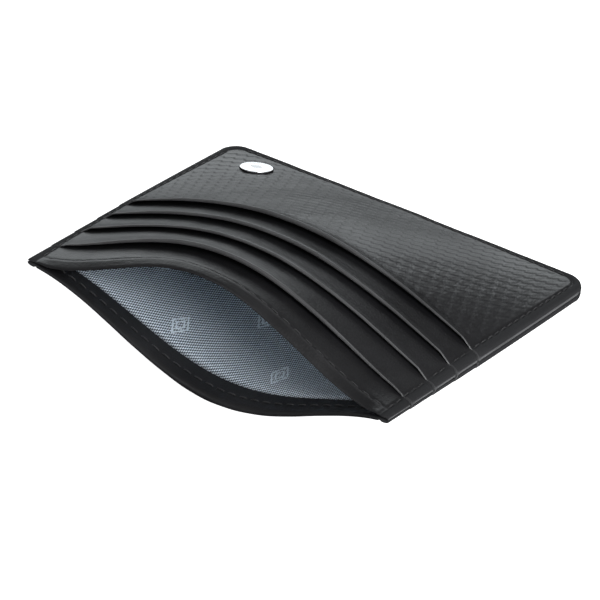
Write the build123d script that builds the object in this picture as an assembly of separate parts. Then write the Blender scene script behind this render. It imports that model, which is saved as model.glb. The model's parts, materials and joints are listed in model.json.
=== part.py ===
from build123d import *
import math
import os

# A slim leather card holder: two mirrored halves, each a cloth lining with a mouth strip, three
# slot strips and an embossed outer panel stacked on it, sewn together along both sides and the
# bottom. It lies with its mouth bulged open, resting on its bottom edge and on its lower lip.
#
# It is modelled in the seam frame and then tilted on to the table. In the seam frame x runs along
# the mouth, v is the distance from the bottom seam towards the mouth (y = -v), and n is the height
# above the seam plane: positive on the front half, negative on the back half. Millimetres.

# ---- driving dimensions -------------------------------------------------------------------------
WIDTH = 100.0
HEIGHT = 79.0
CORNER_RADIUS = 5.0
SLOT_PITCH = 8.23
SLOT_COUNT = 4
MOUTH_INSET = 2.5          # how far each side seam is drawn in at the mouth by the bulge
MOUTH_INSET_POWER = 1.35
SEAM_GAP = 0.1             # from the seam plane to either half
LAYER_GAP = 0.04
LINING_THICKNESS = 0.2
CLOTH_THICKNESS = 0.1
HEM_DEPTH = SLOT_PITCH * 2 / 3     # the mouth strip is turned over the lip by this much
STRIP_TAIL = SLOT_PITCH * 2 / 3    # how far a strip runs on under the next one
RIM_WIDTH = 1.8            # turned side edge of each leather piece
STEP = 0.1                 # length over which a section changes
INNER_INSET = 2.0          # lining, cloths and strip tails stop this far inside the side edge
SLOT_DEPTH = 43.0
LAYER_RISE_SEAM = 0.195    # what each leather layer adds at the skived seams
LAYER_RISE_MIDDLE = 0.667  # and what it adds more in mid span
LEATHER_SEAM = 0.155
LEATHER_MIDDLE = 0.5
GAPE_REACH = 6.0           # how quickly a gaping strip settles back behind its lip
EDGE_ROLL = 0.3            # extra thickness of the turned bottom edge
EDGE_ROLL_REACH = 2.0

STITCH_PITCH = 2.6
LIP_STITCH_PITCH = 3.0
STITCH_LENGTH = 2.0
THREAD_RADIUS = 0.2
THREAD_LIFT = 0.06
SEAM_MARGIN = 1.8          # stitch line to the edge
LIP_MARGIN = 2.8

BADGE_X = -35.75
BADGE_V = 10.2
BADGE_RADIUS = 4.1
BADGE_THICKNESS = 0.6
BADGE_POST_RADIUS = 0.6
BADGE_HOLE_RADIUS = 0.7
BADGE_WASHER_RADIUS = 2.4
BADGE_WASHER_THICKNESS = 0.1
WASHER_CLEARANCE = 0.6     # the cloth behind the badge is punched this much wider than its washer

STATIONS_PER_PITCH = 3
PANEL_STATIONS = 8
SECTION_POINTS = 17


class Half:
    """One half of the wallet: which side it is on and how its wall bows."""

    def __init__(self, name, side, bow, rise_power, skew, sharpness, lip_sharpness, shell, gapes):
        self.name = name
        self.side = side                    # +1 front, -1 back
        self.bow = bow                      # height of the wall in the middle of the mouth
        self.rise_power = rise_power
        self.skew = skew
        self.sharpness = sharpness
        self.lip_sharpness = lip_sharpness
        self.shell = shell                  # seam plane to the mouth strip's outer face
        self.gapes = gapes                  # how far each strip stands off at its lip


FRONT = Half("front", 1, 14.44, 1.304, 1.0, 0.92, 1.89, 0.707, (0.0, 1.4, 0.0, 0.3, 0.7))
BACK = Half("back", -1, 13.75, 1.08, 1.12, 1.63, 1.63, 1.0, (0.0, 0.0, 0.0, 0.0, 0.0))
LIP_SHARPNESS_REACH = 10.0
INNER_SWELL = 0.5          # the turned lip and lining are this much thicker in mid span
CARBON_LIP = HEIGHT - SLOT_COUNT * SLOT_PITCH


# ---- the walls' shape ---------------------------------------------------------------------------
def half_width(v):
    return WIDTH / 2 - MOUTH_INSET * (max(v, 0.0) / HEIGHT) ** MOUTH_INSET_POWER


def span(half, x, v):
    """0 at the side seams and 1 near mid span."""
    across = min(max((x / half_width(v) + 1) / 2, 0.0), 1.0)
    return max(math.sin(math.pi * across ** half.skew), 0.0)


def pile_bump(v):
    """0 at the bottom and the mouth, 1 at the outer panel's lip, where the layers pile up."""
    power = math.log(0.5) / math.log(CARBON_LIP / HEIGHT)
    w = (max(v, 0.0) / HEIGHT) ** power
    return 4 * w * (1 - w)


def pile(v):
    return pile_bump(v) if v < CARBON_LIP else 1.0


def wall(half, x, v):
    """Height of the bowed wall, on either half, as a positive number."""
    t = min(max(v / HEIGHT, 0.0), 1.0)
    across = span(half, x, v)
    if half is FRONT:
        rise = 1 - (1 - t) ** half.rise_power
        blend = math.exp(-(HEIGHT - v) / LIP_SHARPNESS_REACH)
        sharpness = half.sharpness + (half.lip_sharpness - half.sharpness) * blend
        return half.bow * rise * across ** sharpness
    flat = SLOT_COUNT * LAYER_RISE_MIDDLE * pile_bump(v)
    return (half.bow * t ** half.rise_power - flat) * across ** half.sharpness


def inner_face(half, x, v):
    return wall(half, x, v) + SEAM_GAP - INNER_SWELL * span(half, x, v) * v / HEIGHT


def layer_rise(half, x, v):
    return LAYER_RISE_SEAM + LAYER_RISE_MIDDLE * span(half, x, v) * pile(v)


def lip_of(layer):
    """v at the lip of a leather layer: 0 is the mouth strip, 4 the outer panel."""
    return HEIGHT - layer * SLOT_PITCH


def gape(half, layer, x, v):
    settle = math.exp(-max(lip_of(layer) - v, 0.0) / GAPE_REACH)
    return half.gapes[layer] * span(half, x, v) * settle


def outer_face(half, layer, x, v):
    lifted = sum(gape(half, k, x, v) for k in range(layer + 1))
    edge = EDGE_ROLL * math.exp(-v / EDGE_ROLL_REACH) if layer == SLOT_COUNT else 0.0
    return wall(half, x, v) + half.shell + layer * layer_rise(half, x, v) + lifted + edge


def leather_thickness(half, x, v):
    return LEATHER_SEAM + LEATHER_MIDDLE * span(half, x, v) * pile(v)


def under_face(half, layer, x, v):
    """Inner face of a leather layer."""
    if layer == 0:
        return inner_face(half, x, v) + LINING_THICKNESS + LAYER_GAP
    return outer_face(half, layer, x, v) - leather_thickness(half, x, v)


# ---- lofted sheets ------------------------------------------------------------------------------
def point(half, x, v, n):
    return Vector(x, -v, half.side * n)


def curve(half, reach, v, height):
    steps = SECTION_POINTS - 1
    places = [reach * (2 * i / steps - 1) for i in range(SECTION_POINTS)]
    return Spline([point(half, x, v, height(half, x, v)) for x in places])


def plain_section(half, v, reach, top, bottom):
    above = curve(half, reach, v, top)
    below = curve(half, reach, v, bottom)
    return Wire([above, Line(above @ 1, below @ 1), below, Line(below @ 0, above @ 0)])


def at_the_seam(half, x, v):
    return SEAM_GAP


def rimmed_section(half, v, reach, top, bottom, foot=at_the_seam):
    """A wide shallow channel: the sheet with both side edges turned down towards the seam."""
    inside = reach - RIM_WIDTH
    above = curve(half, reach, v, top)
    below = curve(half, inside, v, bottom)
    feet = [point(half, x, v, foot(half, x, v)) for x in (-reach, -inside, inside, reach)]
    edges = [above, below]
    edges += [Line(above @ 1, feet[3]), Line(feet[3], feet[2]), Line(feet[2], below @ 1)]
    edges += [Line(below @ 0, feet[1]), Line(feet[1], feet[0]), Line(feet[0], above @ 0)]
    return Wire(edges)


def tail_section(half, v, top, bottom):
    """The narrower, flat-edged run of a strip that is tucked under the next one."""
    def foot(h, x, v):
        return bottom(h, x, v) - LAYER_GAP / 4
    return rimmed_section(half, v, half_width(v) - INNER_INSET, top, bottom, foot)


def stations(v_low, v_high):
    """The two ends and the shared stations between them, so that neighbours keep their gap."""
    shared = [CARBON_LIP * i / PANEL_STATIONS for i in range(1, PANEL_STATIONS)]
    shared += [CARBON_LIP + SLOT_PITCH * i / STATIONS_PER_PITCH
               for i in range(SLOT_COUNT * STATIONS_PER_PITCH)]
    between = [v for v in shared if v_low + 2 * STEP < v < v_high - 2 * STEP]
    return [v_low, *between, v_high]


def sheet(half, v_low, v_high, top, bottom, inset):
    """A plain closed sheet between two faces of the stack."""
    wires = [plain_section(half, v, half_width(v) - inset, top, bottom)
             for v in stations(v_low, v_high)]
    return Solid.make_loft(wires, ruled=True)


# ---- the pieces of one half ---------------------------------------------------------------------
def lining(half):
    def top(h, x, v):
        return inner_face(h, x, v) + LINING_THICKNESS
    return sheet(half, INNER_INSET, HEIGHT - HEM_DEPTH - SEAM_GAP, top, inner_face, INNER_INSET)


def strip(half, layer):
    """A leather strip: turned side edges where it shows, and a tail under the next strip."""
    def top(h, x, v):
        return outer_face(h, layer, x, v)

    def bottom(h, x, v):
        return under_face(h, layer, x, v)

    next_lip = lip_of(layer + 1)
    hem_line = HEIGHT - HEM_DEPTH if layer == 0 else lip_of(layer)
    wires = [tail_section(half, v, top, bottom)
             for v in stations(next_lip - STRIP_TAIL, next_lip)]
    wires += [rimmed_section(half, v, half_width(v), top, bottom)
              for v in stations(next_lip + STEP, hem_line)]
    if layer == 0:
        wires += [rimmed_section(half, v, half_width(v), top, inner_face)
                  for v in stations(hem_line + STEP, HEIGHT)]
    return Solid.make_loft(wires, ruled=True)


def corner_cutters():
    """What the two rounded bottom corners take off a square panel."""
    cutters = []
    for side in (-1, 1):
        square = Pos(side * WIDTH / 2, 0, 0) * Box(2 * CORNER_RADIUS, 2 * CORNER_RADIUS, 20)
        centre = Pos(side * (WIDTH / 2 - CORNER_RADIUS), -CORNER_RADIUS, 0)
        cutters.append(square - centre * Cylinder(CORNER_RADIUS, 30))
    return cutters


def outer_panel(half):
    """Embossed panel below the last slot, with its side and bottom edges turned."""
    def top(h, x, v):
        return outer_face(h, SLOT_COUNT, x, v)

    def bottom(h, x, v):
        return under_face(h, SLOT_COUNT, x, v)

    def turned(h, x, v):
        return SEAM_GAP + LAYER_GAP / 4

    wires = [rimmed_section(half, v, half_width(v), top, turned)
             for v in stations(0.0, RIM_WIDTH)]
    wires += [rimmed_section(half, v, half_width(v), top, bottom)
              for v in stations(RIM_WIDTH + STEP, CARBON_LIP)]
    panel = Solid.make_loft(wires, ruled=True)
    for cutter in corner_cutters():
        panel -= cutter
    return panel


def pocket_cloth(half, layer):
    """Thin cloth that carries a strip's slot on down to the slot's bottom."""
    v_high = lip_of(layer + 1) - STRIP_TAIL - LAYER_GAP
    v_low = max(lip_of(layer + 1) - SLOT_DEPTH, INNER_INSET + 1)

    def top(h, x, v):
        return outer_face(h, layer, x, v) - LAYER_GAP

    def bottom(h, x, v):
        return top(h, x, v) - CLOTH_THICKNESS
    return sheet(half, v_low, v_high, top, bottom, INNER_INSET + 0.5)


# ---- stitches and badge -------------------------------------------------------------------------
def top_layer(v):
    return min(SLOT_COUNT, int((HEIGHT - v) / SLOT_PITCH))


def surface_plane(half, x, v, layer, toward, lift):
    """A plane on a layer's outer face, z outwards and x along a direction (dx, dv)."""
    step = 0.2

    def at(px, pv):
        return point(half, px, pv, outer_face(half, layer, px, pv))
    along_x = at(x + step, v) - at(x - step, v)
    along_v = at(x, v - step) - at(x, v + step)
    normal = along_x.cross(along_v).normalized() * half.side
    direction = at(x + toward[0] * step, v + toward[1] * step) - at(x, v)
    return Plane(at(x, v) + normal * lift, x_dir=direction, z_dir=normal)


def stitch(half, x, v, toward):
    lift = THREAD_RADIUS + THREAD_LIFT
    plane = surface_plane(half, x, v, top_layer(v), toward, lift)
    return plane * Rot(0, 90, 0) * Cylinder(THREAD_RADIUS, STITCH_LENGTH)


def row(start, end, pitch):
    count = round((end - start) / pitch)
    return [start + (end - start) * (i + 0.5) / count for i in range(count)]


def clear_of_lips(v):
    return all(abs(v - lip_of(k)) > STITCH_LENGTH / 2 + 0.2 for k in range(1, SLOT_COUNT + 1))


def seam_thread(half):
    """Stitches along both side seams and the bottom seam."""
    stitches = []
    for v in row(CORNER_RADIUS + 1, HEIGHT - LIP_MARGIN, STITCH_PITCH):
        if clear_of_lips(v):
            for side in (-1, 1):
                stitches.append(stitch(half, side * (half_width(v) - SEAM_MARGIN), v, (0, 1)))
    reach = WIDTH / 2 - CORNER_RADIUS
    for x in row(-reach, reach, STITCH_PITCH):
        stitches.append(stitch(half, x, SEAM_MARGIN, (1, 0)))
    return Compound(stitches)


def lip_thread(half):
    v = HEIGHT - LIP_MARGIN
    reach = half_width(v) - SEAM_MARGIN - STITCH_LENGTH
    places = row(-reach, reach, LIP_STITCH_PITCH)
    return Compound([stitch(half, x, v, (1, 0)) for x in places])


def badge_plane(lift):
    return surface_plane(FRONT, BADGE_X, BADGE_V, SLOT_COUNT, (1, 0), lift)


def panel_thickness_at_badge():
    return leather_thickness(FRONT, BADGE_X, BADGE_V)


def badge_disc():
    """Polished disc with a short post through the front panel."""
    disc = Pos(0, 0, BADGE_THICKNESS / 2) * Cylinder(BADGE_RADIUS, BADGE_THICKNESS)
    rim = disc.edges().filter_by(GeomType.CIRCLE).sort_by(Axis.Z)[-1]
    disc = fillet(rim, BADGE_THICKNESS * 0.4)
    reach = panel_thickness_at_badge() + THREAD_LIFT + BADGE_WASHER_THICKNESS
    post = Pos(0, 0, -reach / 2) * Cylinder(BADGE_POST_RADIUS, reach)
    return badge_plane(THREAD_LIFT) * (disc + post)


def badge_washer():
    lift = -panel_thickness_at_badge() - LAYER_GAP - BADGE_WASHER_THICKNESS / 2
    ring = Cylinder(BADGE_WASHER_RADIUS, BADGE_WASHER_THICKNESS)
    ring -= Cylinder(BADGE_HOLE_RADIUS, BADGE_WASHER_THICKNESS)
    return badge_plane(lift) * ring


def punch(radius):
    """A cutter along the badge's post."""
    return badge_plane(0) * Cylinder(radius, 4 * LEATHER_MIDDLE)


# ---- assembly -----------------------------------------------------------------------------------
def build_half(half):
    pieces = {
        f"{half.name}_lining": lining(half),
        f"{half.name}_mouth_strip": strip(half, 0),
        f"{half.name}_carbon_panel": outer_panel(half),
        f"{half.name}_lip_thread": lip_thread(half),
        f"seam_thread_{half.name}": seam_thread(half),
    }
    for layer in range(1, SLOT_COUNT):
        pieces[f"{half.name}_slot_strip_{layer}"] = strip(half, layer)
    for layer in range(SLOT_COUNT):
        pieces[f"{half.name}_pocket_cloth_{layer + 1}"] = pocket_cloth(half, layer)
    return pieces


def main():
    pieces = {**build_half(FRONT), **build_half(BACK)}
    pieces["front_carbon_panel"] -= punch(BADGE_HOLE_RADIUS)
    pieces[f"front_pocket_cloth_{SLOT_COUNT}"] -= punch(BADGE_WASHER_RADIUS + WASHER_CLEARANCE)
    pieces["badge_disc"] = badge_disc()
    pieces["badge_washer"] = badge_washer()

    lip_drop = outer_face(BACK, 0, 0, HEIGHT)
    edge_drop = outer_face(BACK, SLOT_COUNT, 0, 0)
    tilt = math.degrees(math.atan2(lip_drop - edge_drop, HEIGHT))
    tilted = {name: Rot(-tilt, 0, 0) * shape for name, shape in pieces.items()}
    box = Compound(list(tilted.values())).bounding_box()
    shift = Pos(-box.center().X, -box.center().Y, -box.min.Z)

    os.makedirs("parts", exist_ok=True)
    for name, shape in tilted.items():
        placed = shift * shape
        export_step(placed, f"parts/{name}.step")
    hinge = shift.position
    print(f"tilt {tilt:.3f} deg, bottom seam axis at y {hinge.Y:.3f}, z {hinge.Z:.3f}")
    print(f"size {box.size.X:.2f} x {box.size.Y:.2f} x {box.size.Z:.2f}")


main()
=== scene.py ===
import json
import math

import bmesh
import bpy
import numpy as np
from mathutils import Matrix, Vector


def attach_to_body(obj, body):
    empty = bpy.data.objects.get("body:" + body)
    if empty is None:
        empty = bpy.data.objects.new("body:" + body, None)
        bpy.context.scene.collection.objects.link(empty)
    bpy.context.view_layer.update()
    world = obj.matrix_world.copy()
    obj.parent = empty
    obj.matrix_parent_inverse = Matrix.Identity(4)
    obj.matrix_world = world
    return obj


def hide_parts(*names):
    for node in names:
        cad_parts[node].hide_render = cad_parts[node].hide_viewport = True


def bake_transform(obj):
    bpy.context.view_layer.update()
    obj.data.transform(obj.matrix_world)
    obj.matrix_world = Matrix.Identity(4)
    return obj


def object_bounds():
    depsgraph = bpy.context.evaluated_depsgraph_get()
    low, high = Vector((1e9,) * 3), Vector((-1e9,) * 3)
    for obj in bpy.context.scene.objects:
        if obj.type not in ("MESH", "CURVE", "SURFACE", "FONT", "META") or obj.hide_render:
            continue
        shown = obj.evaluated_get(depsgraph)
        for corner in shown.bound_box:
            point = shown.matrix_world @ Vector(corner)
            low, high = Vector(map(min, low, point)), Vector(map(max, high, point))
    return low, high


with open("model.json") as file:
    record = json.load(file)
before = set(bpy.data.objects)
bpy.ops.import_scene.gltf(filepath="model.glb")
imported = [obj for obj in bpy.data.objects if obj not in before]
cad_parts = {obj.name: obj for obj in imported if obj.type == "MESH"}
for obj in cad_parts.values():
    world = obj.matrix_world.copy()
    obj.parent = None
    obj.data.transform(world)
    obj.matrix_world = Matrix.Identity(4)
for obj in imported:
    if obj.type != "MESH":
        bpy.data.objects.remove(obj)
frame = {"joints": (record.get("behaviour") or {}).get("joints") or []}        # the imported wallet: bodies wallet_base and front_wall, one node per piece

# The wallet is drawn in its seam frame, in millimetres: x along the mouth, v from the bottom seam
# towards the mouth, n above the seam plane (the front half is +n, the back half -n). seam_to_row()
# tilts that frame on to the table about the bottom seam, which is the axis of the mouth_flex joint.

cad_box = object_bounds()
MM = 0.001

# ---- driving dimensions, as in the CAD model ------------------------------------------------------
WIDTH = 100.0
HEIGHT = 79.0
CORNER_RADIUS = 5.0
SLOT_PITCH = 8.23
SLOT_COUNT = 4
MOUTH_INSET = 2.5
MOUTH_INSET_POWER = 1.35
SEAM_GAP = 0.1
LAYER_GAP = 0.04
LINING_THICKNESS = 0.2
CLOTH_THICKNESS = 0.1
HEM_DEPTH = SLOT_PITCH * 2 / 3
STRIP_TAIL = SLOT_PITCH * 2 / 3
RIM_WIDTH = 1.8
INNER_INSET = 2.0
SLOT_DEPTH = 43.0
LAYER_RISE_SEAM = 0.195
LAYER_RISE_MIDDLE = 0.667
LEATHER_SEAM = 0.155
LEATHER_MIDDLE = 0.5
GAPE_REACH = 6.0
EDGE_ROLL = 0.3
EDGE_ROLL_REACH = 2.0
INNER_SWELL = 0.5
LIP_SHARPNESS_REACH = 10.0
FRONT_RISE_POWER = 1.304
CARBON_LIP = HEIGHT - SLOT_COUNT * SLOT_PITCH

SEAM_MARGIN = 1.8
LIP_MARGIN = 2.8
STITCH_PITCH = 2.6
LIP_STITCH_PITCH = 3.0
BADGE_X = -35.75
BADGE_V = 10.2
BADGE_RADIUS = 4.1
BADGE_THICKNESS = 0.6
BADGE_POST_RADIUS = 0.6
BADGE_HOLE_RADIUS = 0.7
WASHER_RADIUS = 2.4
WASHER_THICKNESS = 0.1

# ---- finer detail than the CAD model has -----------------------------------------------------------
GRID = 0.36                # mesh spacing on the leather
PANEL_GRID = 0.28          # and on the embossed panel
ROW_PITCH = 3.15           # embossed rows, which climb gently across the panel
ROW_SLOPE = 0.46
SCALE_WIDTH = 2.0          # each row is a line of rounded scales
SCALE_BULGE = 1.1
SCALE_RISE = 0.75          # share of the pitch over which a scale rises before it drops
EMBOSS_DEPTH = 0.09
EMBOSS_SHADE = 0.65        # how much of the matt finish lies in the steps between the scales
EDGE_OFFSETS = (0.0, 0.03, 0.09, 0.18, 0.3, 0.44, 0.6, 0.8, 1.05, 1.35)
EDGE_ROUND = 0.6           # how far in the seamed edges are rolled over
MOUTH_ROUND = 0.6          # and the lips, at the mouth and at the slots
SLOT_ROUND = 0.5
SLOT_DROOP = 0.65          # share of its half thickness by which a rolled slot lip hangs down
EDGE_DROOP = 0.85          # and the same for the seamed edges, which meet at the seam plane
EDGE_SPREAD = 0.4          # the seamed edges are pressed this much wider than the CAD outline
BEAD_CREST = 2.25          # the mouth's turned lip is fullest this far in, next to its stitches
BEAD_HEIGHT = {"front": (-0.6, 0.3), "back": (0.0, 0.15)}      # at the lip and at the crest
EAR = 0.22                 # the ends of the slot lips stand out past the seamed edge
EAR_REACH = 0.7
LIP_EXTRA = 0.55           # a turned lip is this much thicker in mid span
LIP_EXTRA_REACH = 2.6
LIP_LIFT = {"front": (0.0, 0.4, 0.85, 0.85, 0.85), "back": (0.0,) * 5}     # how far each layer's curls up
LIP_LIFT_REACH = 2.6
CREASE_DEPTH = 0.06        # line pressed in behind each lip
CREASE_WIDTH = 0.22
GROOVE_DEPTH = 0.3         # the stitch line pulls the leather in
GROOVE_WIDTH = 0.3
SUNK = -GROOVE_DEPTH / 2   # and the thread lies in that groove
PUFF = 0.12                # the band outside the seam's stitches puffs up
RIPPLE = 0.05              # gentle unevenness of the soft leather
HIGHLIGHT_WIDTH = 0.1           # painted highlight line along each crest, and how strongly it and its neighbours are painted lighter as painted light
MOUTH_CREST_HIGHLIGHT = 1.0
SLOT_CREST_HIGHLIGHT = 0.45
LIP_FACE_LIGHT = 0.24
FLANK_HIGHLIGHT = 0.3
PAINT_WIDTH = 2.35         # matt painted band along the seamed edges
THREAD_RADIUS = 0.15


class Half:
    """One half of the wallet: its side of the seam plane, and how its wall bows."""

    def __init__(self, name, side, bow, skew, sharpness, lip_sharpness, shell, gapes):
        self.name = name
        self.side = side
        self.bow = bow
        self.skew = skew
        self.sharpness = sharpness
        self.lip_sharpness = lip_sharpness
        self.shell = shell
        self.gapes = gapes


FRONT = Half("front", 1, 14.44, 1.0, 0.92, 1.89, 0.707, (0.0, 1.4, 0.0, 0.3, 0.7))
BACK = Half("back", -1, 13.75, 1.12, 1.63, 1.63, 1.0, (0.0, 0.0, 0.0, 0.0, 0.0))
BACK_RISE_POWER = 1.08


# ---- the walls' shape, on arrays of x and v ----------------------------------------------------------
def half_width(v):
    return WIDTH / 2 - MOUTH_INSET * (np.maximum(v, 0.0) / HEIGHT) ** MOUTH_INSET_POWER


def span(half, x, v):
    across = np.clip((x / half_width(v) + 1) / 2, 0.0, 1.0)
    return np.maximum(np.sin(np.pi * across ** half.skew), 0.0)


def pile_bump(v):
    power = math.log(0.5) / math.log(CARBON_LIP / HEIGHT)
    w = (np.clip(v, 0.0, HEIGHT) / HEIGHT) ** power
    return 4 * w * (1 - w)


def pile(v):
    return np.where(v < CARBON_LIP, pile_bump(v), 1.0)


def wall(half, x, v):
    t = np.clip(v / HEIGHT, 0.0, 1.0)
    across = span(half, x, v)
    if half is FRONT:
        rise = 1 - (1 - t) ** FRONT_RISE_POWER
        blend = np.exp(-(HEIGHT - v) / LIP_SHARPNESS_REACH)
        sharpness = half.sharpness + (half.lip_sharpness - half.sharpness) * blend
        return half.bow * rise * across ** sharpness
    flat = SLOT_COUNT * LAYER_RISE_MIDDLE * pile_bump(v)
    return (half.bow * t ** BACK_RISE_POWER - flat) * across ** half.sharpness


def inner_face(half, x, v):
    return wall(half, x, v) + SEAM_GAP - INNER_SWELL * span(half, x, v) * v / HEIGHT


def layer_rise(half, x, v):
    return LAYER_RISE_SEAM + LAYER_RISE_MIDDLE * span(half, x, v) * pile(v)


def lip_of(layer):
    return HEIGHT - layer * SLOT_PITCH


def gape(half, layer, x, v):
    settle = np.exp(-np.maximum(lip_of(layer) - v, 0.0) / GAPE_REACH)
    return half.gapes[layer] * span(half, x, v) * settle


def outer_face(half, layer, x, v):
    lifted = sum(gape(half, k, x, v) for k in range(layer + 1))
    edge = EDGE_ROLL * np.exp(-v / EDGE_ROLL_REACH) if layer == SLOT_COUNT else 0.0
    return wall(half, x, v) + half.shell + layer * layer_rise(half, x, v) + lifted + edge


def under_face(half, layer, x, v):
    if layer == 0:
        return inner_face(half, x, v) + LINING_THICKNESS + LAYER_GAP
    thickness = LEATHER_SEAM + LEATHER_MIDDLE * span(half, x, v) * pile(v)
    return outer_face(half, layer, x, v) - thickness


# ---- from the seam frame to the row, about the axis of the joint -------------------------------------
JOINT = next(j for j in frame["joints"] if j["name"] == "mouth_flex")
SEAM = np.array(JOINT["pos_m"]) / MM


def resting_tilt():
    lip_drop = float(outer_face(BACK, 0, 0.0, HEIGHT))
    edge_drop = float(outer_face(BACK, SLOT_COUNT, 0.0, 0.0))
    return math.atan2(lip_drop - edge_drop, HEIGHT)


TILT = resting_tilt()


def seam_to_row(points):
    """(x, -v, n) rows in the seam frame to metres in the row frame."""
    c, s = math.cos(TILT), math.sin(TILT)
    turn = np.array([[1, 0, 0], [0, c, s], [0, -s, c]])
    return (points @ turn.T + SEAM) * MM


# ---- mesh making -------------------------------------------------------------------------------------
def add_mesh(name, points, faces, flat=None, finish=None):
    """A piece from seam-frame points (x, v, n); flat is each point's place in the flat material
    and finish holds further point values that the material reads."""
    seam = np.column_stack([points[:, 0], -points[:, 1], points[:, 2]])
    mesh = bpy.data.meshes.new(name)
    mesh.from_pydata(seam_to_row(seam).tolist(), [], faces)
    flat = points[:, :2] if flat is None else flat
    place = mesh.attributes.new("flat_place", "FLOAT_VECTOR", "POINT")
    place.data.foreach_set("vector", np.column_stack([flat, np.zeros(len(flat))]).ravel())
    for key, values in (finish or {}).items():
        mesh.attributes.new(key, "FLOAT", "POINT").data.foreach_set("value", values)
    mesh.update()
    piece = bpy.data.objects.new(name, mesh)
    bpy.context.scene.collection.objects.link(piece)
    tidy = bmesh.new()
    tidy.from_mesh(mesh)
    bmesh.ops.recalc_face_normals(tidy, faces=tidy.faces)
    tidy.to_mesh(mesh)
    tidy.free()
    mesh.shade_smooth()
    return piece


def attach(piece, half, nodes):
    """Back pieces ride on the base; front pieces are baked into place."""
    if half is FRONT:
        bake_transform(piece)
    else:
        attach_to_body(piece, "wallet_base")
    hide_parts(*nodes)


def refined(low, high, step, low_offsets=EDGE_OFFSETS, high_offsets=EDGE_OFFSETS):
    """Even stations between two ends, closer together where an edge is rounded."""
    start, stop = low + low_offsets[-1], high - high_offsets[-1]
    count = max(2, round((stop - start) / step))
    middle = [start + (stop - start) * i / count for i in range(1, count)]
    return np.array([low + o for o in low_offsets] + middle
                    + [high - o for o in reversed(high_offsets)])


def pillow(across, along, top, bottom, coarse):
    """A closed sheet: a fine upper grid and a coarser lower one that share their border."""
    m, n = len(across), len(along)
    points = [top.reshape(-1, 3)]
    border = np.zeros((m, n), bool)
    border[[0, -1], :] = True
    border[:, [0, -1]] = True
    merged = (top + bottom) / 2
    points[0][border.ravel()] = merged.reshape(-1, 3)[border.ravel()]
    upper = np.arange(m * n).reshape(m, n)
    faces = [(upper[i, j], upper[i + 1, j], upper[i + 1, j + 1], upper[i, j + 1])
             for i in range(m - 1) for j in range(n - 1)]
    rows = sorted({*range(0, m, coarse), m - 1})
    columns = sorted({*range(0, n, coarse), n - 1})
    lower = upper.copy()
    inside = [(i, j) for i in rows[1:-1] for j in columns[1:-1]]
    for k, (i, j) in enumerate(inside):
        lower[i, j] = m * n + k
    points.append(np.array([bottom[i, j] for i, j in inside]))
    for a, b in zip(rows, rows[1:]):
        for c, d in zip(columns, columns[1:]):
            left = [lower[i, c] for i in (range(b, a, -1) if c == 0 else (b,))]
            low = [lower[a, j] for j in (range(c, d) if a == 0 else (c,))]
            right = [lower[i, d] for i in (range(a, b) if d == n - 1 else (a,))]
            high = [lower[b, j] for j in (range(d, c, -1) if b == m - 1 else (d,))]
            faces.append(tuple(reversed(left + low + right + high)))
    return np.vstack(points), faces


def rounded(distance, radius):
    """Height factor of a round edge: 0 on the edge and 1 a radius inside it."""
    return np.sqrt(np.clip(1 - (1 - np.clip(distance / radius, 0, 1)) ** 2, 0, 1))


def smooth(value):
    value = np.clip(value, 0.0, 1.0)
    return value * value * (3 - 2 * value)


# ---- relief on the leather's outer face --------------------------------------------------------------
def scale_share(x, v):
    """How far across its embossed scale a place is; the rows overlap towards the mouth."""
    straight = x * WIDTH / 2 / half_width(v)
    lean = 0.5 * SCALE_WIDTH / ROW_PITCH
    arc = np.sqrt(np.sin(np.pi * (straight + lean * v) / SCALE_WIDTH) ** 2 + 0.02)
    return np.mod((v + ROW_SLOPE * straight - SCALE_BULGE * arc) / ROW_PITCH, 1.0)


def emboss_area(x, v):
    """The emboss fades out before the stitched band and the panel's lip."""
    within = smooth((edge_distance(x, v) - SEAM_MARGIN - 0.3) / 1.5)
    return within * smooth((CARBON_LIP - v - SLOT_ROUND - 0.6) / 1.2)


def emboss(x, v):
    """Each scale rises gently and then drops in a soft step."""
    share = scale_share(x, v)
    rise = np.minimum(share / SCALE_RISE, smooth((1 - share) / (1 - SCALE_RISE)))
    return (rise - 0.5) * emboss_area(x, v)


def emboss_valley(x, v):
    """Where the surface steps down from one scale to the next."""
    share = scale_share(x, v)
    return smooth((share - SCALE_RISE) / 0.1) * smooth((1 - share) / 0.15) * emboss_area(x, v)


def stitch_line(distance, run, pitch):
    """Groove of a stitch line, whose depth waves along it with the stitches."""
    groove = np.exp(-(distance / GROOVE_WIDTH) ** 2)
    waves = 0.9 + 0.2 * np.cos(2 * np.pi * run / pitch)
    return -GROOVE_DEPTH * groove * waves


def edge_distance(x, v):
    """Distance inside the wallet's outline, rounded corners included."""
    side = half_width(v) - np.abs(x)
    corner_x = np.abs(x) - (WIDTH / 2 - CORNER_RADIUS)
    corner_v = CORNER_RADIUS - v
    arc = CORNER_RADIUS - np.hypot(corner_x, corner_v)
    return np.where((corner_x > 0) & (corner_v > 0), arc, np.minimum(side, v))


def rim_distance(layer, x, v):
    """Distance inside a layer's rolled edge, which is spread a little past the outline."""
    reach = half_width(v) + EDGE_SPREAD
    return edge_distance(x * half_width(v) / reach, v) if layer == SLOT_COUNT else reach - np.abs(x)


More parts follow.
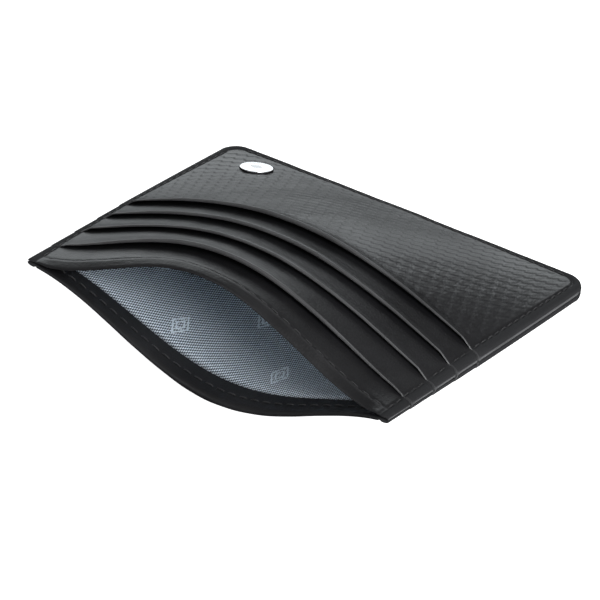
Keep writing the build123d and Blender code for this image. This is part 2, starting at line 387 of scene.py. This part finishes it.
def relief(half, layer, x, v):
    """Everything pressed or sewn into a layer's outer face."""
    edge = edge_distance(x, v)
    side = half_width(v) - np.abs(x)
    run = np.where(side < v, v - CORNER_RADIUS - 1, x)
    height = stitch_line(edge - SEAM_MARGIN, run, STITCH_PITCH)
    height += PUFF * np.sin(np.pi * np.clip(edge / SEAM_MARGIN, 0, 1))
    behind = lip_of(layer) - v
    if layer == 0:
        height += stitch_line(behind - LIP_MARGIN, x, LIP_STITCH_PITCH) * smooth(edge - SEAM_MARGIN)
        low, high = BEAD_HEIGHT[half.name]
        bead = low + (high - low) * np.clip(behind / BEAD_CREST, 0, 1) ** 0.9
        bead = bead * smooth((LIP_MARGIN - behind) / (LIP_MARGIN - BEAD_CREST))
        height += bead * smooth((side - SEAM_MARGIN) / 4)
    else:
        line = np.exp(-((behind - SLOT_ROUND - 0.35) / CREASE_WIDTH) ** 2)
        height -= CREASE_DEPTH * line * smooth((edge - SEAM_MARGIN) / 3)
    if layer == SLOT_COUNT:
        height += EMBOSS_DEPTH * emboss(x, v)
    return height + ripple(half, layer, x, v)


def ripple(half, layer, x, v):
    turn = layer * 1.7 + (0.0 if half is FRONT else 2.3)
    slow = np.sin(0.31 * x + 0.23 * v + turn) + 0.7 * np.sin(0.17 * x - 0.29 * v + 2.1 * turn)
    quick = 0.4 * np.sin(0.83 * x + 0.37 * v + 3.3 * turn)
    return RIPPLE * (slow + quick) * span(half, x, v)


# ---- leather -------------------------------------------------------------------------------------------
def reach_at(v, layer):
    """Half width of a layer: rounded corners on the panel, narrower where the next layer covers it."""
    reach = half_width(v) + EDGE_SPREAD
    if layer > 0:
        reach = reach + EAR * np.exp(-((lip_of(layer) - v) / EAR_REACH) ** 2)
    if layer == SLOT_COUNT:
        inset = CORNER_RADIUS - np.sqrt(np.maximum(
            CORNER_RADIUS ** 2 - np.maximum(CORNER_RADIUS - v, 0.0) ** 2, 0.0))
        return reach - inset
    return reach - INNER_INSET * (1 - smooth((v - lip_of(layer + 1) + 0.1) / 0.4))


def leather_grid(layer):
    """Stations across and along a layer."""
    low = 0.0 if layer == SLOT_COUNT else lip_of(layer + 1) - STRIP_TAIL
    step = PANEL_GRID if layer == SLOT_COUNT else GRID
    return refined(-WIDTH / 2, WIDTH / 2, step), refined(low, lip_of(layer), step)


def lip_radius(half, layer, x, v):
    """How far back from the lip its roll begins: tightest where the lip runs into the seams."""
    return MOUTH_ROUND if layer == 0 else SLOT_ROUND * (0.35 + 0.65 * span(half, x, v))


def painted_edge_light(half, layer, x, v):
    """Painted light: a painted highlight along the crests of the lips and along the front half's outer
    edge, and the lip faces painted lighter as if lit.
    """
    behind = lip_of(layer) - v
    crest_at = BEAD_CREST if layer == 0 else 0.9 * lip_radius(half, layer, x, v)
    lit_amount = MOUTH_CREST_HIGHLIGHT if layer == 0 else SLOT_CREST_HIGHLIGHT
    lit_amount = lit_amount * (1 - 0.8 * edge_paint(layer, x, v))
    # painted highlight along each lip's crest
    crest = lit_amount * np.exp(-((behind - crest_at) / HIGHLIGHT_WIDTH) ** 2)
    # the lip faces are painted lighter, painted light where they lie in shade
    face = 0.0 if layer == 0 else LIP_FACE_LIGHT * smooth((crest_at - behind) / 0.2)
    # painted highlight line along the front half's outer edge
    flank = FLANK_HIGHLIGHT if half is FRONT else 0.0
    flank = flank * smooth((0.08 - rim_distance(layer, x, v)) / 0.06)
    return np.maximum(np.maximum(crest, face), flank).astype(np.float32)


def edge_paint(layer, x, v):
    """Where the seamed edges carry matt edge paint, which also lies in the emboss."""
    band = smooth((PAINT_WIDTH - rim_distance(layer, x, v)) / 0.3)
    valleys = EMBOSS_SHADE * emboss_valley(x, v) if layer == SLOT_COUNT else 0.0
    return np.maximum(band, valleys).astype(np.float32)


def under_edge(half, layer, x, v, shown):
    """Inner face of a layer: turned in at the seamed edges, hemmed at the mouth, thicker at a lip."""
    side = half_width(v) - np.abs(x)
    under = under_face(half, layer, x, v)
    rim = smooth((RIM_WIDTH + 0.6 - side) / 1.2) * shown
    if layer == SLOT_COUNT:
        rim = np.maximum(rim, smooth((RIM_WIDTH - v) / 1.0))
    if layer == 0:
        hem = smooth((v - (HEIGHT - HEM_DEPTH)) / 0.4)
        under = under + (inner_face(half, x, v) - under) * hem
    under = under + (SEAM_GAP - under) * rim
    if layer > 0:
        behind = lip_of(layer) - v
        extra = LIP_EXTRA * span(half, x, v) * np.exp(-(behind / LIP_EXTRA_REACH) ** 2)
        room = half.gapes[layer] * 0.8 + 0.12
        under = under - np.minimum(extra, room)
    return under


def leather_heights(half, layer, x, v):
    """Heights of a layer's outer and inner face, which meet in rolled edges."""
    behind = lip_of(layer) - v
    edge = rim_distance(layer, x, v)
    shown = smooth((v - (0.0 if layer == SLOT_COUNT else lip_of(layer + 1))) / 0.3 + 1)
    under = under_edge(half, layer, x, v, shown)
    rolled = rounded(behind, lip_radius(half, layer, x, v))
    flank = rounded(np.where(shown > 0.5, edge, EDGE_ROUND), EDGE_ROUND)
    body = flank * rolled
    thick = (outer_face(half, layer, x, v) - under) / 2
    middle = under + thick - EDGE_DROOP * thick * (1 - flank)
    if layer > 0:
        side = half_width(v) - np.abs(x)
        curl = LIP_LIFT[half.name][layer] * np.exp(-(behind / LIP_LIFT_REACH) ** 2)
        curl = curl * smooth((side - SEAM_MARGIN) / 3)
        middle = middle + curl - SLOT_DROOP * thick * (1 - rolled)
    shape = relief(half, layer, x, v) * smooth(edge / 0.8)
    return middle + thick * body + shape, middle - thick * body


def leather(half, layer, name, slot):
    across, along = leather_grid(layer)
    across = across / (WIDTH / 2)
    share, v = np.meshgrid(across, along, indexing="ij")
    x = share * reach_at(v, layer)
    outer, inner = leather_heights(half, layer, x, v)
    top = np.stack([x, v, outer], axis=-1)
    bottom = np.stack([x, v, inner], axis=-1)
    points, faces = pillow(across, along, top, bottom, 5)
    flat = np.column_stack([points[:, 0] * WIDTH / 2 / half_width(points[:, 1]), points[:, 1]])
    signed = points * np.array([1, 1, half.side])
    # painted highlights on the crests and edges, and painted light on the lip faces
    lightened = painted_edge_light(half, layer, points[:, 0], points[:, 1])
    painted = edge_paint(layer, points[:, 0], points[:, 1])
    piece = add_mesh(f"{name}_leather", signed, faces, flat, {"painted_light": lightened, "paint": painted})
    piece.data.materials.append(MATERIALS[slot])
    attach(piece, half, [name])


# ---- cloth ---------------------------------------------------------------------------------------------
def cloth(half, name, slot, v_low, v_high, inset, top_face, thickness, step):
    along = np.linspace(v_low, v_high, max(4, round((v_high - v_low) / step)))
    across = np.linspace(-1, 1, round(WIDTH / step))
    share, v = np.meshgrid(across, along, indexing="ij")
    x = share * (half_width(v) - inset)
    height = top_face(x, v)
    top = np.stack([x, v, height], axis=-1)
    bottom = np.stack([x, v, height - thickness], axis=-1)
    points, faces = pillow(across, along, top, bottom, 2)
    signed = points * np.array([1, 1, half.side])
    piece = add_mesh(f"{name}_sheet", signed, faces)
    piece.data.materials.append(MATERIALS[slot])
    attach(piece, half, [name])


def lining(half):
    def top_face(x, v):
        return inner_face(half, x, v) + LINING_THICKNESS
    cloth(half, f"{half.name}_lining", "lining_fabric", INNER_INSET, HEIGHT - HEM_DEPTH - SEAM_GAP,
          INNER_INSET, top_face, LINING_THICKNESS, 1.0)


def pocket_cloth(half, layer):
    v_high = lip_of(layer + 1) - STRIP_TAIL - LAYER_GAP
    v_low = max(lip_of(layer + 1) - SLOT_DEPTH, INNER_INSET + 1)

    def top_face(x, v):
        return outer_face(half, layer, x, v) - LAYER_GAP
    cloth(half, f"{half.name}_pocket_cloth_{layer + 1}", "pocket_cloth", v_low, v_high,
          INNER_INSET + 0.5, top_face, CLOTH_THICKNESS, 2.0)


# ---- stitches ------------------------------------------------------------------------------------------
STITCH_RINGS = 9
STITCH_SIDES = 8


def stitch_points(at, along, normal, length):
    """A thread that rises out of one needle hole, lies along the groove and dives into the next."""
    sideways = np.cross(normal, along)
    rings = []
    for i in range(STITCH_RINGS):
        t = 2 * i / (STITCH_RINGS - 1) - 1
        arch = 0.16 - 0.42 * abs(t) ** 3.2
        plump = THREAD_RADIUS * math.sqrt(max(1 - abs(t) ** 6, 0.04))
        centre = at + along * (t * length / 2) + normal * arch
        for k in range(STITCH_SIDES):
            a = 2 * math.pi * k / STITCH_SIDES
            rings.append(centre + plump * (math.cos(a) * sideways + math.sin(a) * normal))
    return np.array(rings)


def stitch_faces(base):
    faces = []
    for i in range(STITCH_RINGS - 1):
        for k in range(STITCH_SIDES):
            a, b = base + i * STITCH_SIDES, base + (i + 1) * STITCH_SIDES
            after = (k + 1) % STITCH_SIDES
            faces.append((a + k, a + after, b + after, b + k))
    last = base + (STITCH_RINGS - 1) * STITCH_SIDES
    faces.append(tuple(base + k for k in reversed(range(STITCH_SIDES))))
    faces.append(tuple(last + k for k in range(STITCH_SIDES)))
    return faces


def surface_frame(face, x, v, toward):
    """Point, direction and normal of a face, in (x, v, n), at one place."""
    step = 0.2

    def at(px, pv):
        return np.array([px, pv, float(face(px, pv))])
    along_x = at(x + step, v) - at(x - step, v)
    along_v = at(x, v + step) - at(x, v - step)
    normal = np.cross(along_x, along_v)
    normal /= np.linalg.norm(normal)
    along = at(x + toward[0] * step, v + toward[1] * step) - at(x, v)
    return at(x, v), along / np.linalg.norm(along), normal


def sew(name, half, places, length, nodes):
    """One piece holding every stitch of a seam; places are (face, x, v, toward, lift, outward)."""
    points, faces, anchors = [], [], []
    for face, x, v, toward, lift, outward in places:
        at, along, normal = surface_frame(face, x, v, toward)
        ring = stitch_points(at + normal * lift * outward, along, normal * outward, length)
        faces += stitch_faces(len(points) * STITCH_RINGS * STITCH_SIDES)
        points.append(ring)
        anchors += [(x, v)] * len(ring)
    points = np.vstack(points)
    signed = points * np.array([1, 1, half.side])
    piece = add_mesh(name, signed, faces)
    piece.data.materials.append(MATERIALS["sewing_thread"])
    anchors = np.column_stack([np.array(anchors), np.zeros(len(anchors))])
    attach(piece, half, nodes)


def top_layer(v):
    return min(SLOT_COUNT, int((HEIGHT - v) / SLOT_PITCH))


def row_of(start, end, pitch):
    count = round((end - start) / pitch)
    return [start + (end - start) * (i + 0.5) / count for i in range(count)]


def outside(half, layer):
    def face(x, v):
        return outer_face(half, layer, x, v)
    return face


def seam_stitches(half):
    places = []
    for v in row_of(CORNER_RADIUS + 1, HEIGHT - LIP_MARGIN, STITCH_PITCH):
        if all(abs(v - lip_of(k)) > 1.0 for k in range(1, SLOT_COUNT + 1)):
            for side in (-1, 1):
                x = side * (float(half_width(v)) - SEAM_MARGIN)
                places.append((outside(half, top_layer(v)), x, v, (0, 1), SUNK, 1))
    reach = WIDTH / 2 - CORNER_RADIUS
    for x in row_of(-reach, reach, STITCH_PITCH):
        places.append((outside(half, SLOT_COUNT), x, SEAM_MARGIN, (1, 0), SUNK, 1))
    sew(f"seam_stitches_{half.name}", half, places, 2.2, [f"seam_thread_{half.name}"])


def lip_stitches(half):
    """The lip's stitch line shows on the outside and on the hem inside."""
    v = HEIGHT - LIP_MARGIN
    reach = float(half_width(v)) - SEAM_MARGIN - 1.0

    def hem(x, v):
        return inner_face(half, x, v)
    places = []
    for x in row_of(-reach, reach, LIP_STITCH_PITCH):
        places.append((outside(half, 0), x, v, (1, 0), SUNK, 1))
        places.append((hem, x, v, (1, 0), 0.05, -1))
    sew(f"{half.name}_lip_stitches", half, places, 2.5, [f"{half.name}_lip_thread"])


# ---- badge ---------------------------------------------------------------------------------------------
TURN = 96                  # points round each turned piece
BADGE_BACK = -0.15         # the disc is pressed this far into the leather
BADGE_SIDE = 0.35          # below this height the disc's side and post are darkened, painted shade in place of their reflection
ETCH_DEPTH = 0.04
ETCH_SHADE = 0.4


def badge_height(radius, x, y):
    """Slightly domed face with a bevelled edge, a ring line and a plain lozenge etched in."""
    share = radius / BADGE_RADIUS
    dome = BADGE_THICKNESS - 0.12 * share ** 2
    bevel = 0.1 * smooth((share - 0.95) / 0.05) ** 2
    ring = 0.05 * np.exp(-((share - 0.82) / 0.025) ** 2)
    return dome - bevel - ring - ETCH_DEPTH * badge_mark(x, y)


def badge_mark(x, y):
    """A plain etched lozenge."""
    return smooth((1.0 - np.abs(x) / 2.2 - np.abs(y) / 1.5) / 0.15)


def circle(radius, height):
    a = 2 * np.pi * np.arange(TURN) / TURN
    return np.column_stack([radius * np.cos(a), radius * np.sin(a), np.full(TURN, height)])


def turned(rings):
    """Quads between each ring of points and the next."""
    return [(i * TURN + k, (i + 1) * TURN + k, (i + 1) * TURN + (k + 1) % TURN,
             i * TURN + (k + 1) % TURN) for i in range(rings - 1) for k in range(TURN)]


def on_panel(name, rings, faces, node, slot, finish=None):
    """A turned piece standing on the panel at the badge, which it follows without bending."""
    at, along, normal = surface_frame(outside(FRONT, SLOT_COUNT), BADGE_X, BADGE_V, (1, 0))
    axes = np.array([along, np.cross(normal, along), normal])
    local = np.vstack(rings)
    piece = add_mesh(name, at + local @ axes, faces, local[:, :2], finish)
    piece.data.materials.append(MATERIALS[slot])
    attach(piece, FRONT, [node])


def panel_depth():
    return float(outer_face(FRONT, SLOT_COUNT, BADGE_X, BADGE_V)
                 - under_face(FRONT, SLOT_COUNT, BADGE_X, BADGE_V))


def badge():
    """The disc with its post through the panel."""
    rings = [circle(radius, 0.0) for radius in np.linspace(0.02, BADGE_RADIUS, 41)]
    for ring in rings:
        ring[:, 2] = badge_height(np.hypot(ring[:, 0], ring[:, 1]), ring[:, 0], ring[:, 1])
    foot = -panel_depth() - LAYER_GAP - WASHER_THICKNESS
    rings += [circle(BADGE_RADIUS, height) for height in (0.3, 0.0, -0.12)]
    rings += [circle(BADGE_RADIUS - 0.03, BADGE_BACK)]
    rings += [circle(BADGE_POST_RADIUS, height) for height in (BADGE_BACK, foot)]
    last = (len(rings) - 1) * TURN
    faces = turned(len(rings))
    faces.append(tuple(range(TURN)))
    faces.append(tuple(last + k for k in reversed(range(TURN))))
    across, along, height = np.vstack(rings).T
    # painted shade on the side and post; on the face only the etched lozenge is a real mark
    etch_and_side_shade = np.where(height < BADGE_SIDE, 1.0, ETCH_SHADE * badge_mark(across, along))
    on_panel("badge_face", rings, faces, "badge_disc", "badge_metal", {"etched_and_shaded": etch_and_side_shade.astype(np.float32)})


def washer():
    top = -panel_depth() - LAYER_GAP
    bottom = top - WASHER_THICKNESS
    corners = [(BADGE_HOLE_RADIUS, top), (WASHER_RADIUS, top), (WASHER_RADIUS, bottom),
               (BADGE_HOLE_RADIUS, bottom)]
    faces = turned(len(corners))
    last = (len(corners) - 1) * TURN
    faces += [(last + k, k, (k + 1) % TURN, last + (k + 1) % TURN) for k in range(TURN)]
    on_panel("washer_ring", [circle(*corner) for corner in corners], faces, "badge_washer", "washer_metal")


# ---- materials -----------------------------------------------------------------------------------------
class Nodes:
    """Short names for building one material's node tree."""

    def __init__(self, name):
        self.material = bpy.data.materials.new(name)
        self.material.use_nodes = True
        self.tree = self.material.node_tree
        self.shader = self.tree.nodes["Principled BSDF"]

    def add(self, kind, **settings):
        node = self.tree.nodes.new(kind)
        for key, value in settings.items():
            setattr(node, key, value)
        return node

    def link(self, out, into):
        self.tree.links.new(out, into)

    def put(self, node, values):
        for key, value in values.items():
            if hasattr(value, "is_linked"):
                self.link(value, node.inputs[key])
            else:
                node.inputs[key].default_value = value
        return node

    def place(self, across, along=None):
        """Place in the flat material, in cells of the given size in mm."""
        flat = self.add("ShaderNodeAttribute", attribute_name="flat_place")
        scaled = self.add("ShaderNodeVectorMath", operation="DIVIDE")
        self.put(scaled, {0: flat.outputs["Vector"], 1: (across, along or across, 1.0)})
        return scaled.outputs["Vector"]

    def math(self, operation, a, b=0.0, clamp=False):
        node = self.add("ShaderNodeMath", operation=operation, use_clamp=clamp)
        return self.put(node, {0: a, 1: b}).outputs[0]

    def noise(self, vector, detail=2.0, roughness=0.5):
        node = self.add("ShaderNodeTexNoise")
        values = {"Vector": vector, "Scale": 1.0, "Detail": detail, "Roughness": roughness}
        return self.put(node, values).outputs["Fac"]

    def pebbles(self, vector):
        node = self.add("ShaderNodeTexVoronoi", feature="SMOOTH_F1")
        return self.put(node, {"Vector": vector, "Scale": 1.0, "Smoothness": 0.6}).outputs["Distance"]

    def ramp(self, factor, stops):
        node = self.add("ShaderNodeValToRGB")
        elements = node.color_ramp.elements
        while len(elements) < len(stops):
            elements.new(0.5)
        for element, (position, colour) in zip(elements, stops):
            element.position = position
            element.color = (*colour, 1)
        self.link(factor, node.inputs["Fac"])
        return node.outputs["Color"]

    def mix(self, factor, under, over):
        node = self.add("ShaderNodeMix", data_type="RGBA")
        self.link(factor, node.inputs[0])
        self.link(under, node.inputs[6])
        node.inputs[7].default_value = over
        return node.outputs[2]

    def span(self, factor, low, high, to_low, to_high):
        node = self.add("ShaderNodeMapRange")
        self.link(factor, node.inputs["Value"])
        self.put(node, {"From Min": low, "From Max": high, "To Min": to_low, "To Max": to_high})
        return node.outputs["Result"]

    def bump(self, height, distance, strength=1.0, normal=None):
        node = self.add("ShaderNodeBump")
        self.put(node, {"Height": height, "Distance": distance * MM, "Strength": strength})
        if normal is not None:
            self.link(normal, node.inputs["Normal"])
        return node.outputs["Normal"]


def leather_material(name, grain, crease, low_rough, high_rough):
    nodes = Nodes(name)
    pebbles = nodes.pebbles(nodes.place(grain))
    pores = nodes.noise(nodes.place(0.18), 3.0, 0.6)
    patches = nodes.noise(nodes.place(14.0), 3.0, 0.55)
    black = nodes.ramp(patches, [(0.3, (0.0075, 0.0075, 0.0085)), (0.7, (0.013, 0.013, 0.0145))])
    # painted light: a lighter colour along the lip crests, lip faces and front edges stands in for
    # highlights
    painted_light = nodes.add("ShaderNodeAttribute", attribute_name="painted_light").outputs["Fac"]
    lit_amount = nodes.math("MULTIPLY", painted_light, nodes.span(patches, 0.3, 0.7, 0.6, 1.0))
    colour = nodes.mix(lit_amount, black, (0.36, 0.365, 0.375, 1))
    paint = nodes.add("ShaderNodeAttribute", attribute_name="paint").outputs["Fac"]
    colour = nodes.mix(nodes.math("MULTIPLY", paint, 0.12), colour, (0.16, 0.165, 0.17, 1))
    rough = nodes.span(patches, 0.3, 0.7, low_rough, high_rough)
    rough = nodes.math("ADD", rough, nodes.math("MULTIPLY", paint, 0.3))
    shine = nodes.span(paint, 0.0, 1.0, 0.5, 0.06)
    creases = nodes.noise(nodes.place(5.0, 0.9), 3.0, 0.6)
    fine = nodes.bump(creases, crease, 1.0, nodes.bump(pores, 0.012))
    normal = nodes.bump(pebbles, 0.035, 1.0, fine)
    nodes.put(nodes.shader, {"Base Color": colour, "Roughness": rough, "Normal": normal,
                             "Specular IOR Level": shine})
    return nodes.material


DOT_STEPS = ((0.41, -0.3), (-0.21, -0.73))     # from one dot of the lining to its two neighbours


def lining_material():
    """Blue-grey jacquard: a fine diagonal dot weave with a sparse woven lozenge."""
    nodes = Nodes("lining_fabric")
    place = nodes.add("ShaderNodeSeparateXYZ")
    nodes.link(nodes.place(1.0), place.inputs["Vector"])
    x, v = place.outputs["X"], place.outputs["Y"]
    waves = []
    for across, along in np.linalg.inv(np.array(DOT_STEPS)).T * 2 * math.pi:
        phase = nodes.math("ADD", nodes.math("MULTIPLY", x, across), nodes.math("MULTIPLY", v, along))
        waves.append(nodes.math("COSINE", phase))
    dots = nodes.span(nodes.math("ADD", *waves), -0.5, 0.7, 0.0, 1.0)
    motif = lozenge_motif(nodes, x, v)
    slub = nodes.noise(nodes.place(0.9), 2.0)
    level = nodes.math("ADD", nodes.math("MULTIPLY", dots, 0.8), nodes.math("MULTIPLY", slub, 0.2))
    level = nodes.math("MAXIMUM", level, motif)
    colour = nodes.ramp(level, [(0.1, (0.03, 0.037, 0.05)), (0.75, (0.6, 0.71, 0.84)),
                                (1.0, (0.85, 0.92, 0.97))])
    normal = nodes.bump(dots, 0.08)
    nodes.put(nodes.shader, {"Base Color": colour, "Normal": normal})
    nodes.shader.inputs["Roughness"].default_value = 0.5
    nodes.shader.inputs["Sheen Weight"].default_value = 0.35
    nodes.shader.inputs["Sheen Roughness"].default_value = 0.4
    return nodes.material


def lozenge_motif(nodes, x, v):
    """Thin lozenge outlines set out in a half-drop repeat: a plain generic figure."""
    repeat = 27.0

    def folded(value, shift):
        moved = nodes.math("ADD", nodes.math("DIVIDE", value, repeat), shift)
        part = nodes.math("FRACT", moved)
        return nodes.math("ABSOLUTE", nodes.math("SUBTRACT", part, 0.5))
    outlines = []
    for shift in (0.0, 0.5):
        width = nodes.math("DIVIDE", folded(x, shift), 0.075)
        depth = nodes.math("DIVIDE", folded(v, shift), 0.11)
        reach = nodes.math("ADD", width, depth)
        for size in (0.5, 1.0):
            ring = nodes.math("ABSOLUTE", nodes.math("SUBTRACT", reach, size))
            outlines.append(nodes.math("LESS_THAN", ring, 0.11))
    figure = outlines[0]
    for outline in outlines[1:]:
        figure = nodes.math("MAXIMUM", figure, outline)
    return nodes.math("MULTIPLY", figure, 0.85)


def cloth_material():
    nodes = Nodes("pocket_cloth")
    weave = nodes.add("ShaderNodeTexChecker")
    nodes.put(weave, {"Vector": nodes.place(0.3), "Scale": 1.0})
    colour = nodes.ramp(weave.outputs["Fac"], [(0.0, (0.018, 0.018, 0.02)), (1.0, (0.04, 0.04, 0.043))])
    nodes.put(nodes.shader, {"Base Color": colour, "Normal": nodes.bump(weave.outputs["Fac"], 0.03)})
    nodes.shader.inputs["Roughness"].default_value = 0.85
    return nodes.material


def thread_material():
    nodes = Nodes("sewing_thread")
    wave = nodes.add("ShaderNodeTexWave", wave_type="BANDS", bands_direction="DIAGONAL")
    nodes.put(wave, {"Vector": nodes.place(0.25), "Scale": 1.0, "Distortion": 0.6})
    colour = nodes.ramp(wave.outputs["Fac"], [(0.0, (0.012, 0.012, 0.013)), (1.0, (0.045, 0.045, 0.048))])
    nodes.put(nodes.shader, {"Base Color": colour, "Normal": nodes.bump(wave.outputs["Fac"], 0.04)})
    nodes.shader.inputs["Roughness"].default_value = 0.42
    return nodes.material


def metal_material(name, colour, rough):
    nodes = Nodes(name)
    brushed = nodes.noise(nodes.place(0.6), 4.0, 0.6)
    shade = nodes.ramp(brushed, [(0.3, tuple(0.93 * c for c in colour)), (0.7, colour)])
    # darkens the etched mark, and paints shade on the badge's side and post
    etched_and_shaded = nodes.add("ShaderNodeAttribute", attribute_name="etched_and_shaded").outputs["Fac"]
    shade = nodes.mix(etched_and_shaded, shade, (0.05, 0.05, 0.055, 1))
    roughness = nodes.span(brushed, 0.3, 0.7, rough, rough + 0.08)
    roughness = nodes.math("ADD", roughness, nodes.math("MULTIPLY", etched_and_shaded, 0.35))
    nodes.put(nodes.shader, {"Base Color": shade, "Roughness": roughness,
                             "Normal": nodes.bump(brushed, 0.004)})
    nodes.shader.inputs["Metallic"].default_value = 1.0
    return nodes.material


MATERIALS = {
    "smooth_leather": leather_material("smooth_leather", 0.42, 0.07, 0.36, 0.46),
    "carbon_leather": leather_material("carbon_leather", 0.5, 0.01, 0.3, 0.38),
    "lining_fabric": lining_material(),
    "pocket_cloth": cloth_material(),
    "sewing_thread": thread_material(),
    "badge_metal": metal_material("badge_metal", (0.92, 0.92, 0.93), 0.14),
    "washer_metal": metal_material("washer_metal", (0.55, 0.55, 0.56), 0.4),
}


# ---- the wallet ----------------------------------------------------------------------------------------
def dress(half):
    leather(half, 0, f"{half.name}_mouth_strip", "smooth_leather")
    for layer in range(1, SLOT_COUNT):
        leather(half, layer, f"{half.name}_slot_strip_{layer}", "smooth_leather")
    leather(half, SLOT_COUNT, f"{half.name}_carbon_panel", "carbon_leather")
    lining(half)
    for layer in range(SLOT_COUNT):
        pocket_cloth(half, layer)
    seam_stitches(half)
    lip_stitches(half)


dress(FRONT)
dress(BACK)
badge()
washer()


# ---- floor, light and camera ---------------------------------------------------------------------------
def floor():
    size = 4.0
    mesh = bpy.data.meshes.new("floor")
    corners = [(-size, -size, 0), (size, -size, 0), (size, size, 0), (-size, size, 0)]
    mesh.from_pydata(corners, [], [(0, 1, 2, 3)])
    piece = bpy.data.objects.new("floor", mesh)
    bpy.context.scene.collection.objects.link(piece)
    piece.location.z = cad_box[0][2] - 0.0002
    nodes = Nodes("floor_paper")
    nodes.shader.inputs["Base Color"].default_value = (0.9, 0.9, 0.9, 1)
    nodes.shader.inputs["Roughness"].default_value = 0.9
    nodes.shader.inputs["Emission Color"].default_value = (1, 1, 1, 1)
    nodes.shader.inputs["Emission Strength"].default_value = 1.0
    piece.data.materials.append(nodes.material)
    piece.visible_glossy = False


def area_light(name, azimuth, elevation, distance, size, power, colour=(1, 1, 1)):
    """A square soft light aimed at the wallet; azimuth 0 is at -Y and 90 at +X."""
    lamp = bpy.data.lights.new(name, "AREA")
    lamp.shape = "SQUARE"
    lamp.size = size
    lamp.energy = power
    lamp.color = colour
    piece = bpy.data.objects.new(name, lamp)
    bpy.context.scene.collection.objects.link(piece)
    a, e = math.radians(azimuth), math.radians(elevation)
    back = Vector((math.sin(a) * math.cos(e), -math.cos(a) * math.cos(e), math.sin(e)))
    piece.location = back * distance
    piece.rotation_euler = back.to_track_quat("Z", "Y").to_euler()


def world_light(strength):
    """Even dim light from above the horizon, and none from below it."""
    world = bpy.data.worlds.new("studio")
    world.use_nodes = True
    tree = world.node_tree
    background = tree.nodes["Background"]
    direction = tree.nodes.new("ShaderNodeTexCoord")
    height = tree.nodes.new("ShaderNodeSeparateXYZ")
    ramp = tree.nodes.new("ShaderNodeValToRGB")
    tree.links.new(direction.outputs["Generated"], height.inputs["Vector"])
    tree.links.new(height.outputs["Z"], ramp.inputs["Fac"])
    tree.links.new(ramp.outputs["Color"], background.inputs["Color"])
    ramp.color_ramp.elements[0].position = 0.0
    ramp.color_ramp.elements[0].color = (0.03, 0.03, 0.03, 1)
    ramp.color_ramp.elements[1].position = 0.08
    ramp.color_ramp.elements[1].color = (1, 1, 1, 1)
    background.inputs["Strength"].default_value = strength
    bpy.context.scene.world = world


def camera():
    azimuth, elevation, roll = math.radians(35.735), math.radians(36.563), math.radians(0.24)
    target = Vector((0.89, -2.94, 3.56)) * MM
    distance = 525.8 * MM
    back = Vector((math.sin(azimuth) * math.cos(elevation),
                   -math.cos(azimuth) * math.cos(elevation), math.sin(elevation)))
    lens = bpy.data.cameras.new("camera")
    lens.lens = 141.28
    lens.sensor_width = 36.0
    lens.clip_start = 0.01
    piece = bpy.data.objects.new("camera", lens)
    bpy.context.scene.collection.objects.link(piece)
    piece.matrix_world = (Matrix.Translation(target + back * distance)
                          @ back.to_track_quat("Z", "Y").to_matrix().to_4x4()
                          @ Matrix.Rotation(-roll, 4, "Z"))
    bpy.context.scene.camera = piece


floor()
area_light("back_softbox", -138, 21, 1.3, 1.3, 8.3, (0.92, 0.975, 1.0))
area_light("front_softbox", 70, 34, 1.2, 0.6, 13)
area_light("fill_softbox", -18, 38, 1.2, 0.5, 1.0)
world_light(0.16)
camera()
bpy.context.scene.view_settings.view_transform = "Standard"
